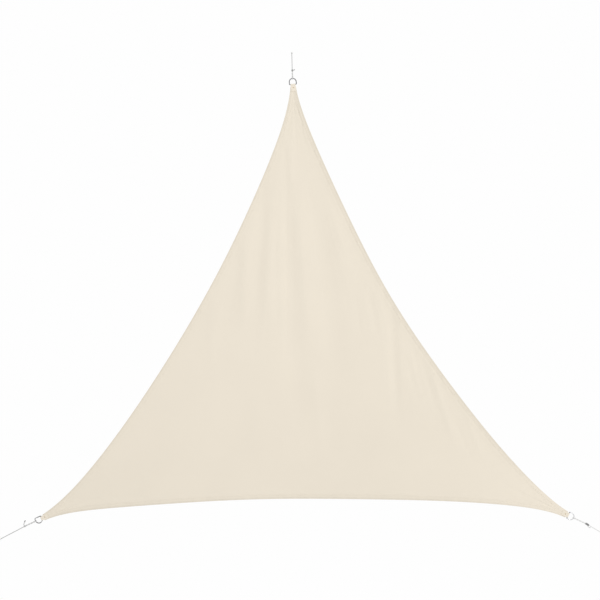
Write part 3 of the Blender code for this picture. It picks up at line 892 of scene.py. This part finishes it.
def fine_fan():
    """Many faint narrow creases that spread from the top tip, each on its own ray, as crease rows."""
    chance = np.random.default_rng(FAN_SEED)
    count = FAN_CREASES
    even = np.linspace(-FAN_HALF_ANGLE, FAN_HALF_ANGLE, count)
    bearing = np.radians(FAN_BEARING + even + chance.uniform(-0.9, 0.9, count))
    start = chance.uniform(0.25, 1.1, count)
    end = start + chance.uniform(0.45, 1.3, count)
    width = chance.uniform(0.009, 0.017, count)
    depth = chance.uniform(0.00015, 0.0005, count) * np.where(chance.random(count) < 0.5, -1, 1)
    rays = np.stack((np.cos(bearing), np.sin(bearing)), axis=1)
    heads, feet = (corner_named("top").tip + away[:, None] * rays for away in (start, end))
    return [Crease(*head, *foot, w, 1.4 * w, d) for head, foot, w, d in zip(heads, feet, width, depth)]


FAN = fine_fan()


def main_relief(x, z):
    """A belly that is the product of the three distances to the sides, each as a share of the
    triangle's height, and the main creases. The tips stay flat."""
    a, b, c = (corner.tip for corner in CORNERS)
    area = (b[0] - a[0]) * (c[1] - a[1]) - (c[0] - a[0]) * (b[1] - a[1])
    share_b = ((x - a[0]) * (c[1] - a[1]) - (c[0] - a[0]) * (z - a[1])) / area
    share_c = ((b[0] - a[0]) * (z - a[1]) - (x - a[0]) * (b[1] - a[1])) / area
    share_a = 1 - share_b - share_c
    product = np.clip(share_a, 0, 1) * np.clip(share_b, 0, 1) * np.clip(share_c, 0, 1)
    at_middle = 1 / 27
    depth = -BILLOW * product / at_middle
    for crease in MAIN_CREASES:
        depth = depth + crease_relief(crease, x, z)
    for tip in (a, b, c):
        away = np.hypot(x - tip[0], z - tip[1])
        depth = depth * smooth_step((away - FLAT_TIP) / (FULL_RELIEF - FLAT_TIP))
    return depth


def relief(x, z):
    """How far the middle of the cloth lies behind the plane of its tips."""
    depth = main_relief(x, z)
    for crease in (*LESSER_CREASES, *FAN):
        depth = depth + crease_relief(crease, x, z)
    for name in EDGES:
        depth = depth + pucker_relief(name, x, z)
    for name in GATHERS:
        depth = depth + gather_relief(name, x, z)
    return depth


def raised(plan):
    """Points of the middle of the cloth, from their (x, z)."""
    x, z = plan[..., 0], plan[..., 1]
    return np.stack((x, relief(x, z), z), axis=-1)


def border_width(name, t):
    """How far in the band along an edge reaches: BORDER, or near a tip only as far as where the other
    edge is as close. The range is halved until it is found."""
    base, inward = edge_line(name, t), edge_inward(name, t)
    low, high = np.zeros(len(t)), np.full(len(t), 1.3 * BORDER)
    for _ in range(26):
        middle = 0.5 * (low + high)
        x, z = (base + middle[:, None] * inward).T
        own = edge_coordinates(name, x, z)[1]
        others = [edge_coordinates(other, x, z)[1] for other in EDGES if other != name]
        inside = own <= np.minimum(np.min(others, axis=0), BORDER)
        low, high = np.where(inside, middle, low), np.where(inside, high, middle)
    return low


def hem_profile(inset):
    """Heights of front and back over the middle of the cloth. The edge is rounded, the stitches pull a
    groove, and the folded layer ends in a low step on the back."""
    bulge = np.sqrt(np.clip(1 - np.clip(1 - inset / EDGE_ROUNDING, 0, 1) ** 2, 0, 1))
    folded = 1 - smooth_step((inset - HEM_WIDTH) / FOLD_STEP + 0.5)
    groove = bell((inset - SEAM_INSET) / GROOVE_WIDTH)
    single = 0.5 * PANEL_THICKNESS
    front = (single + (HEM_FRONT - single) * folded - GROOVE_FRONT * groove) * bulge
    back = (single + (HEM_BACK - single) * folded - GROOVE_BACK * groove) * bulge
    return front, back


def hem_tone(name, inset, along, span):
    """How much darker the hem is painted, in soft steps: painted shade most over its rolled edge, the denser
    double layer with painted shade over the folded layer, painted shade again along the seam's groove, and
    painted shadow a little beside it. Both the rolled edge's part and the rest change towards the share of
    each tip by exp(-(away / reach)^2)."""
    tones = HEM_TONES[name]
    folded = 1 - smooth_step((inset - HEM_WIDTH + 0.003) / 0.008)
    rolled = 1 - smooth_step((inset - 0.009) / 0.007)
    line = bell((inset - HEM_WIDTH) / 0.006)
    beside = smooth_step((inset - 0.036) / 0.010) * smooth_step((0.072 - inset) / 0.024)
    outer = (tones.edge - tones.body) * rolled
    inner = tones.body * folded + tones.seam * line + tones.inside * beside
    uneven = 1 + 0.25 * np.sin(2 * pi * along / 0.067) * np.sin(2 * pi * along / 0.171 + 1.0)
    for away, share in ((along, tones.at_start), (span - along, tones.at_end)):
        change = (share - 1) * bell(away / HEM_TONE_REACH)
        outer, inner = outer * (1 + ROLLED_SHARE * change), inner * (1 + change)
    return np.clip((outer + inner) * uneven, 0, 1)


def painted_band_shade(x, z):
    """Painted shade: how much darker the cloth is painted in a broad soft band right of the middle, where
    the lamp lights it most, and towards the top tip and towards the left one."""
    band = smooth_step((x + 0.15) / 0.65) * smooth_step((1.70 - x) / 0.60)
    top = smooth_step((z + 1.20) / 0.70)
    left = smooth_step((-0.70 - x) / 0.40) * smooth_step((-2.70 - z) / 0.35)
    return BAND_PAINTED_SHADE * (band + TIP_SHARE * (top + left))


def front_normals(points):
    """Unit normals of a grid of points, on the side that faces -Y."""
    normals = unit(np.cross(np.gradient(points, axis=1), np.gradient(points, axis=0)))
    return normals * np.where(normals[..., 1:2] > 0, -1, 1)


# Insets of the band's points: over the hem, closest at its edge and seam, and then shares of what is left.
HEM_LEVELS = np.array(
    (0.0, 0.0002, 0.0006, 0.0012, 0.002, 0.004, 0.007, 0.010, 0.013, 0.016, 0.0195, 0.0225, 0.0240,
     0.0245, 0.0250, 0.0258, 0.0264, 0.0270, 0.0276, 0.0284)
)
HEM_LEVELS_SHARE = 0.87  # of a band too narrow for them, that they are squeezed into
OUTER_LEVELS = np.array((0.04, 0.09, 0.15, 0.22, 0.30, 0.40, 0.52, 0.66, 0.82, 1.0))


def border_grid(name):
    """Plan and height of the middle surface of an edge's band: a row for each step along the edge, a
    column for each level inwards, and one more column that is tucked under the neighbour."""
    t = np.linspace(0, 1, BORDER_STEPS)
    width = border_width(name, t)[:, None]
    hem = np.minimum(1, HEM_LEVELS_SHARE * width / HEM_LEVELS[-1]) * HEM_LEVELS
    outer = hem[:, -1:] + OUTER_LEVELS * (width - hem[:, -1:])
    inset = np.concatenate((hem, outer, width + TUCK), axis=1)
    return raised(edge_line(name, t)[:, None] + inset[..., None] * edge_inward(name, t)[:, None])


def make_border(name, finish):
    """The band along one edge of the cloth: hem, seam and puckers. Its section is one closed line, out
    along the front and home along the back."""
    middle = border_grid(name)
    normals = front_normals(middle)
    t, inset = edge_coordinates(name, middle[..., 0], middle[..., 2])
    span = edge_span(name)
    # Painted shade along the hem, beside it and in broad bands, with the denser look of the hem's double
    # layer.
    fold = hem_tone(name, inset, t * span, span) + painted_band_shade(middle[..., 0], middle[..., 2])
    front, back = hem_profile(np.clip(inset, 0, None))
    thin = 0.5 * PANEL_THICKNESS - TUCK_THINNER
    front[:, -1], back[:, -1] = thin, thin
    front_face = middle + front[..., None] * normals
    back_face = middle - back[..., None] * normals
    grid = np.concatenate((front_face, back_face[:, :0:-1]), axis=1)
    shade = np.concatenate((fold, fold[:, :0:-1]), axis=1)
    run = np.linspace(0, 1, BORDER_STEPS)
    return add_tube(f"hem_band_{name}", grid, run, finish, shades={"fold": shade})


def bunched(count):
    """Numbers from 0 to 1, a little closer together towards both ends."""
    s = np.linspace(0, 1, count)
    return (1 - BUNCHING) * s + BUNCHING * 0.5 * (1 - np.cos(pi * s))


def inner_side(name, t):
    """The inner side of an edge's band, as (x, z)."""
    return edge_line(name, t) + border_width(name, t)[:, None] * edge_inward(name, t)


def border_limited(name, t):
    """Whether the band is narrower than BORDER at t, because another edge is close."""
    x, z = inner_side(name, np.array((t,))).T
    return edge_coordinates(name, x, z)[1][0] < BORDER - 1e-6


def inner_line(name, share):
    """The inner side of the band between the places where the bands of the other edges meet it."""
    ends = []
    for low, high in ((0.0, 0.5), (1.0, 0.5)):
        for _ in range(40):
            t = 0.5 * (low + high)
            low, high = (t, high) if border_limited(name, t) else (low, t)
        ends.append(high)
    return inner_side(name, ends[0] + share * (ends[1] - ends[0]))


def make_panel(finish):
    """The cloth between the bands, front and back in one closed mesh. Rows run from the left side to the
    right one, the last is the lower side, and each row above it takes its share of that side's curve."""
    rows, columns = PANEL_ROWS, PANEL_COLUMNS
    v, u = bunched(rows), bunched(columns)
    left, right = inner_line("left", v)[:, None], inner_line("right", v)[:, None]
    lower = inner_line("bottom", u)[None]
    u, v = u[None, :, None], v[:, None, None]
    chord = (1 - u) * lower[:, :1] + u * lower[:, -1:]
    middle = raised((1 - u) * left + u * right + v * (lower - chord))
    middle_normals = front_normals(middle[1:])
    normals = np.concatenate((middle_normals[:1], middle_normals))
    half = 0.5 * PANEL_THICKNESS * normals
    half[0] = half[0].mean(axis=0)
    vertices = np.concatenate(((middle + half).reshape(-1, 3), (middle - half).reshape(-1, 3)))
    corner_rows, corner_columns = grid_corners(rows, columns, around=False)
    front = corner_rows * columns + corner_columns
    back_start = rows * columns
    face = np.arange(back_start).reshape(rows, columns)
    rim = np.concatenate((face[0], face[1:, -1], face[-1, -2::-1], face[-2:0:-1, 0]))
    walls = np.stack((rim, np.roll(rim, -1), np.roll(rim, -1) + back_start, rim + back_start), axis=1)
    quads = np.concatenate((front[:, ::-1], front + back_start, walls))
    if enclosed_volume(vertices, quads) < 0:
        quads = quads[:, ::-1]
    # Painted shade in broad bands over the panel.
    shades = {"fold": painted_band_shade(vertices[:, 0], vertices[:, 2])}
    panel = add_piece("sail_panel", vertices, quads.tolist(), finish, shades=shades)
    merge_doubles(panel)
    return panel


def merge_doubles(piece):
    mesh = bmesh.new()
    mesh.from_mesh(piece.data)
    bmesh.ops.remove_doubles(mesh, verts=mesh.verts, dist=1e-6)
    mesh.to_mesh(piece.data)
    mesh.free()
    piece.data.set_sharp_from_angle(angle=SHARP_ANGLE)


# --- stitches ---


def stitch_form(length, thickness):
    """One stitch lying along x: a thread of five sides whose middle arches up and whose ends dip."""
    sides, stations = 5, np.array((-0.5, -0.28, 0.28, 0.5))
    angle = 2 * pi * np.arange(sides) / sides
    lift = thickness * np.array((-0.35, 0.22, 0.22, -0.35))
    size = 0.5 * thickness * np.array((0.6, 1.0, 1.0, 0.6))
    x = np.repeat(stations * length, sides)
    y = (size[:, None] * np.cos(angle)).ravel()
    z = (lift[:, None] + size[:, None] * np.sin(angle)).ravel()
    points = np.stack((x, y, z), axis=1)
    quads, _, _, first, last = tube_faces(points, len(stations), sides)
    return points, quads, np.stack((first, last))


def add_stitches(name, places, ways, outs, length, thickness, finish):
    """Many stitches as one joined mesh: each lies at its place, along its way, and stands out."""
    points, quads, ends = stitch_form(length, thickness)
    sideways = np.cross(outs, ways)
    vertices = (
        places[:, None]
        + points[None, :, :1] * ways[:, None]
        + points[None, :, 1:2] * sideways[:, None]
        + points[None, :, 2:] * outs[:, None]
    ).reshape(-1, 3)
    starts = (np.arange(len(places)) * len(points))[:, None, None]
    faces = (quads + starts).reshape(-1, quads.shape[1]).tolist()
    faces += (ends + starts).reshape(-1, ends.shape[1]).tolist()
    return add_piece(name, vertices, faces, finish)


def make_hem_stitches(name, finish):
    """A row of stitches on both faces of a hem, each in the groove that it pulls."""
    sewn_share = 1 - 2 * HEM_STITCH_START
    count = int(sewn_share * edge_span(name) / HEM_STITCH_PITCH)
    t = np.linspace(HEM_STITCH_START, 1 - HEM_STITCH_START, count)
    plan = edge_line(name, t) + SEAM_INSET * edge_inward(name, t)
    middle, step = raised(plan), 0.001
    x, z = plan.T
    slope_x = (relief(x + step, z) - relief(x - step, z)) / (2 * step)
    slope_z = (relief(x, z + step) - relief(x, z - step)) / (2 * step)
    out = unit(np.stack((slope_x, -np.ones(len(t)), slope_z), axis=1))
    way = unit(np.gradient(middle, axis=0))
    front, back = hem_profile(np.array((SEAM_INSET,)))
    places = np.concatenate((middle + (front + THREAD_LIFT) * out, middle - (back + THREAD_LIFT) * out))
    ways, outs = np.concatenate((way, way)), np.concatenate((out, -out))
    label = f"hem_stitches_{name}"
    return add_stitches(label, places, ways, outs, HEM_STITCH, HEM_THREAD, finish)


CLOTH = cloth_finish()
CREAM = thread_finish("cream_thread", CREAM_THREAD)
TAN = thread_finish("tan_thread", TAN_THREAD)
panel = make_panel(CLOTH)
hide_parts("sail_cloth")
for each in EDGES:
    make_border(each, CLOTH)
    make_hem_stitches(each, CREAM)


# --- webbing straps ---


def strap_path(corner):
    """Along and depth of the strap's middle line: down one face of the tip, round the rod and up the
    other face; and the half width there."""
    flat_depth = 0.5 * CLOTH_AT_STRAP + GAP + 0.5 * STRAP_THICKNESS
    eye_depth = 0.5 * ROD_DIAMETER + GAP + 0.5 * STRAP_THICKNESS
    half_width = 0.5 * corner.loop_width
    eye_end = ROD_STANDOFF
    if corner.held_by == "arc":
        slant = np.sqrt(1 - (half_width / RING_RADIUS) ** 2)
        eye_end += RING_RADIUS * (1 - slant) + 0.5 * ROD_DIAMETER * (1 / slant - 1) + GAP
    rise = np.linspace(0, 1, 13)
    turn = np.linspace(-0.5 * pi, 0.5 * pi, 27)
    parting = LEGS_PART + rise * (LEGS_WIDE - LEGS_PART)
    leg_along = np.concatenate((np.linspace(-STRAP_LEG, -0.001, 24), parting))
    apart = smooth_step((leg_along - LEGS_PART) / (LEGS_WIDE - LEGS_PART))
    leg_depth = flat_depth + apart * (eye_depth - flat_depth)
    along = np.concatenate((leg_along, eye_end + eye_depth * np.cos(turn), leg_along[::-1]))
    depth = np.concatenate((-leg_depth, eye_depth * np.sin(turn), leg_depth[::-1]))
    narrow = smooth_step((along + NARROWING) / (eye_end + NARROWING))
    half = 0.5 * (STRAP_WIDTH + (corner.loop_width - STRAP_WIDTH) * narrow)
    return along, depth, half


def make_strap(corner, finish):
    """Webbing swept along its middle line. Its section is a flat band with ribs along it on both faces
    and rounded selvedges: the half thickness times (1 - q^8), q from -1 to 1 across."""
    along, depth, half = strap_path(corner)
    path = np.column_stack((along, depth))
    tangent = unit(np.gradient(path, axis=0))
    outward = np.column_stack((tangent[:, 1], -tangent[:, 0]))
    q = np.sin(np.linspace(-0.5 * pi, 0.5 * pi, 6 * STRAP_RIBS + 1))
    q = 0.75 * np.linspace(-1, 1, len(q)) + 0.25 * q
    ribs = RIB_HEIGHT * (np.abs(np.cos(0.5 * pi * STRAP_RIBS * q)) - 1)
    skin = (0.5 * STRAP_THICKNESS + ribs) * np.sqrt(np.clip(1 - q**8, 0, 1)) + 1e-5
    section_q = np.concatenate((q, q[::-1]))
    section_skin = np.concatenate((skin, -skin[::-1]))
    side = path[:, None] + section_skin[None, :, None] * outward[:, None]
    across = half[:, None] * section_q
    grid = local_points(in_plane(corner.tip), corner.pull, side[..., 0], across, side[..., 1])
    run = distances(np.column_stack((path, np.zeros(len(path)))))
    strap = add_tube(f"strap_{corner.name}", grid, run, finish, girth=2 * STRAP_WIDTH)
    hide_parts(f"webbing_loop_{corner.name}")


def stitch_line(start, end, pitch):
    """Middles and ways of the stitches of one straight line, in along and across."""
    start, end = np.array(start), np.array(end)
    length = np.linalg.norm(end - start)
    count = max(1, int(length / pitch))
    share = (np.arange(count) + 0.5)[:, None] / count
    return start + share * (end - start), np.repeat([(end - start) / length], count, axis=0)


def sewn(corner, name, lines, pitch, stitch, finish):
    """Stitches along the lines on the outer face of both legs of a strap."""
    rows = [stitch_line(*line, pitch) for line in lines]
    middles, ways = (np.tile(np.concatenate(parts), (2, 1)).T for parts in zip(*rows))
    side = np.repeat((-1, 1), len(middles[0]) // 2)
    face = 0.5 * CLOTH_AT_STRAP + GAP + STRAP_THICKNESS - 0.5 * RIB_HEIGHT
    places = local_points(in_plane(corner.tip), corner.pull, *middles, side * face)
    ways = local_points(np.zeros(3), corner.pull, *ways, 0.0)
    outs = side[:, None] * DEPTH_WAY
    label = f"{name}_{corner.name}"
    add_stitches(label, places, ways, outs, stitch, STRAP_THREAD, finish)


def make_strap_stitches(corner):
    """A box with a cross in it, and a bar tack above, where the legs begin to part."""
    box = ((BOX_LOW, -BOX_SIDE), (BOX_LOW, BOX_SIDE), (BOX_HIGH, BOX_SIDE), (BOX_HIGH, -BOX_SIDE))
    lines = list(zip(box, box[1:] + box[:1])) + [(box[0], box[2]), (box[1], box[3])]
    sewn(corner, "box_stitches", lines, BOX_STITCH_PITCH, BOX_STITCH, CREAM)
    tack_places = np.linspace(TACK_LOW, TACK_HIGH, TACK_ROWS)
    tack = [((along, -TACK_SIDE), (along, TACK_SIDE)) for along in tack_places]
    sewn(corner, "bar_tack", tack, 2 * TACK_SIDE, TACK_STITCH, TAN)


WEBBING = strap_finish()
for each in CORNERS:
    make_strap(each, WEBBING)
    make_strap_stitches(each)


# --- rings ---


def ring_path():
    """Middle line of the rod: half a circle, two short legs, two rounded corners and the straight bar.
    First number towards the top of the arc, second across."""
    arc = np.linspace(-0.5 * pi, 0.5 * pi, 61)
    bend = np.linspace(0.5 * pi, pi, 17)
    bend_along = RING_CORNER_RADIUS - BAR_DROP
    bend_across = RING_RADIUS - RING_CORNER_RADIUS
    upper = RING_RADIUS * np.column_stack((np.cos(arc), np.sin(arc)))
    side = RING_CORNER_RADIUS * np.column_stack((np.cos(bend), np.sin(bend))) + (bend_along, bend_across)
    whole = np.vstack((upper, side, side[::-1] * (1, -1), upper[:1]))
    return even_path(np.column_stack((whole, np.zeros(len(whole)))), RING_STEP)[:-1]


# Painted reflections: how pale each ring's steel is painted, from 0 to 1: all round, and what is added to
# that about some angles. Each place is an angle from +X towards +Z about the ring's centre and a spread, in
# degrees, and a share.
RING_PAINTED_REFLECTIONS = {
    "top": (0.13, ((0, 40, -0.07), (90, 30, 0.08))),
    "left": (0.12, ((155, 34, 0.34), (64, 20, 0.04), (-30, 22, 0.40))),
    "right": (0.74, ((108, 17, -0.50), (-28, 17, -0.50), (201, 20, -0.60), (45, 25, -0.06))),
}


def painted_reflections(corner, points):
    """Painted reflections along the ring: the even share, plus at each place its own share times exp(-(angle
    from it / spread)^2).
    """
    offset = points - ring_centre(corner)
    angle = np.degrees(np.arctan2(offset[:, 2], offset[:, 0]))
    even, places = RING_PAINTED_REFLECTIONS[corner.name]
    pale = np.full(len(points), even)
    for middle, spread, share in places:
        away = (angle - middle + 180) % 360 - 180
        pale += share * bell(away / spread)
    return pale


def make_ring(corner, finish):
    """The rod swept round its path, with a low weld bead in the middle of the bar."""
    path = ring_path()
    from_weld = np.hypot(path[:, 0] + BAR_DROP, path[:, 1])
    bead = WELD_HEIGHT * bell(from_weld / WELD_LENGTH)
    ripple = 1 + 0.25 * np.cos(2 * pi * path[:, 1] / WELD_RIPPLE)
    radius = 0.5 * ROD_DIAMETER + bead * ripple
    top_of_arc = corner.pull if corner.held_by == "bar" else corner.pull + 90
    centreline = local_points(ring_centre(corner), top_of_arc, path[:, 0], path[:, 1], 0.0)
    grid = tube_grid(centreline, DEPTH_WAY, radius[:, None], RING_SIDES, closed=True)
    # Painted reflections along the rod.
    shades = {"pale": np.repeat(painted_reflections(corner, centreline), RING_SIDES)}
    run = distances(centreline)
    ring = add_tube(f"ring_{corner.name}", grid, run, finish, closed=True, shades=shades)
    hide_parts(f"d_ring_{corner.name}")


STEEL = steel_finish()
for each in CORNERS:
    make_ring(each, STEEL)


# --- floor, light and picture ---


def make_floor():
    """A round, pale, plain floor well below the sail."""
    finish, shader = new_finish("pale_floor", roughness=0.9, specular=0.1)
    shader.inputs["Base Color"].default_value = (*FLOOR_COLOUR, 1.0)
    angle = 2 * pi * np.arange(FLOOR_SIDES) / FLOOR_SIDES
    level = np.full(FLOOR_SIDES, CAD_BOX[0].z - FLOOR_DROP)
    rim = np.column_stack((FLOOR_RADIUS * np.cos(angle), FLOOR_RADIUS * np.sin(angle), level))
    mesh = bpy.data.meshes.new("floor")
    mesh.from_pydata(rim.tolist(), [], [list(range(FLOOR_SIDES))])
    mesh.materials.append(finish)
    floor = put_in_scene("floor", mesh)


def make_light():
    """An even white surround, and one large soft lamp from the upper right."""
    world = bpy.data.worlds.new("white_surround")
    world.use_nodes = True
    world.node_tree.nodes["Background"].inputs["Color"].default_value = (1.0, 1.0, 1.0, 1.0)
    world.node_tree.nodes["Background"].inputs["Strength"].default_value = SURROUND
    bpy.context.scene.world = world
    data = bpy.data.lights.new("soft_lamp", "AREA")
    data.shape = "DISK"
    data.size = LAMP_SIZE
    data.energy = LAMP_POWER
    lamp = put_in_scene("soft_lamp", data)
    lamp.location = LAMP_PLACE
    aim = Vector(LAMP_AIM) - lamp.location
    lamp.rotation_mode = "QUATERNION"
    lamp.rotation_quaternion = aim.to_track_quat("-Z", "Y")


make_floor()
make_light()
bpy.context.scene.view_settings.view_transform = "Standard"
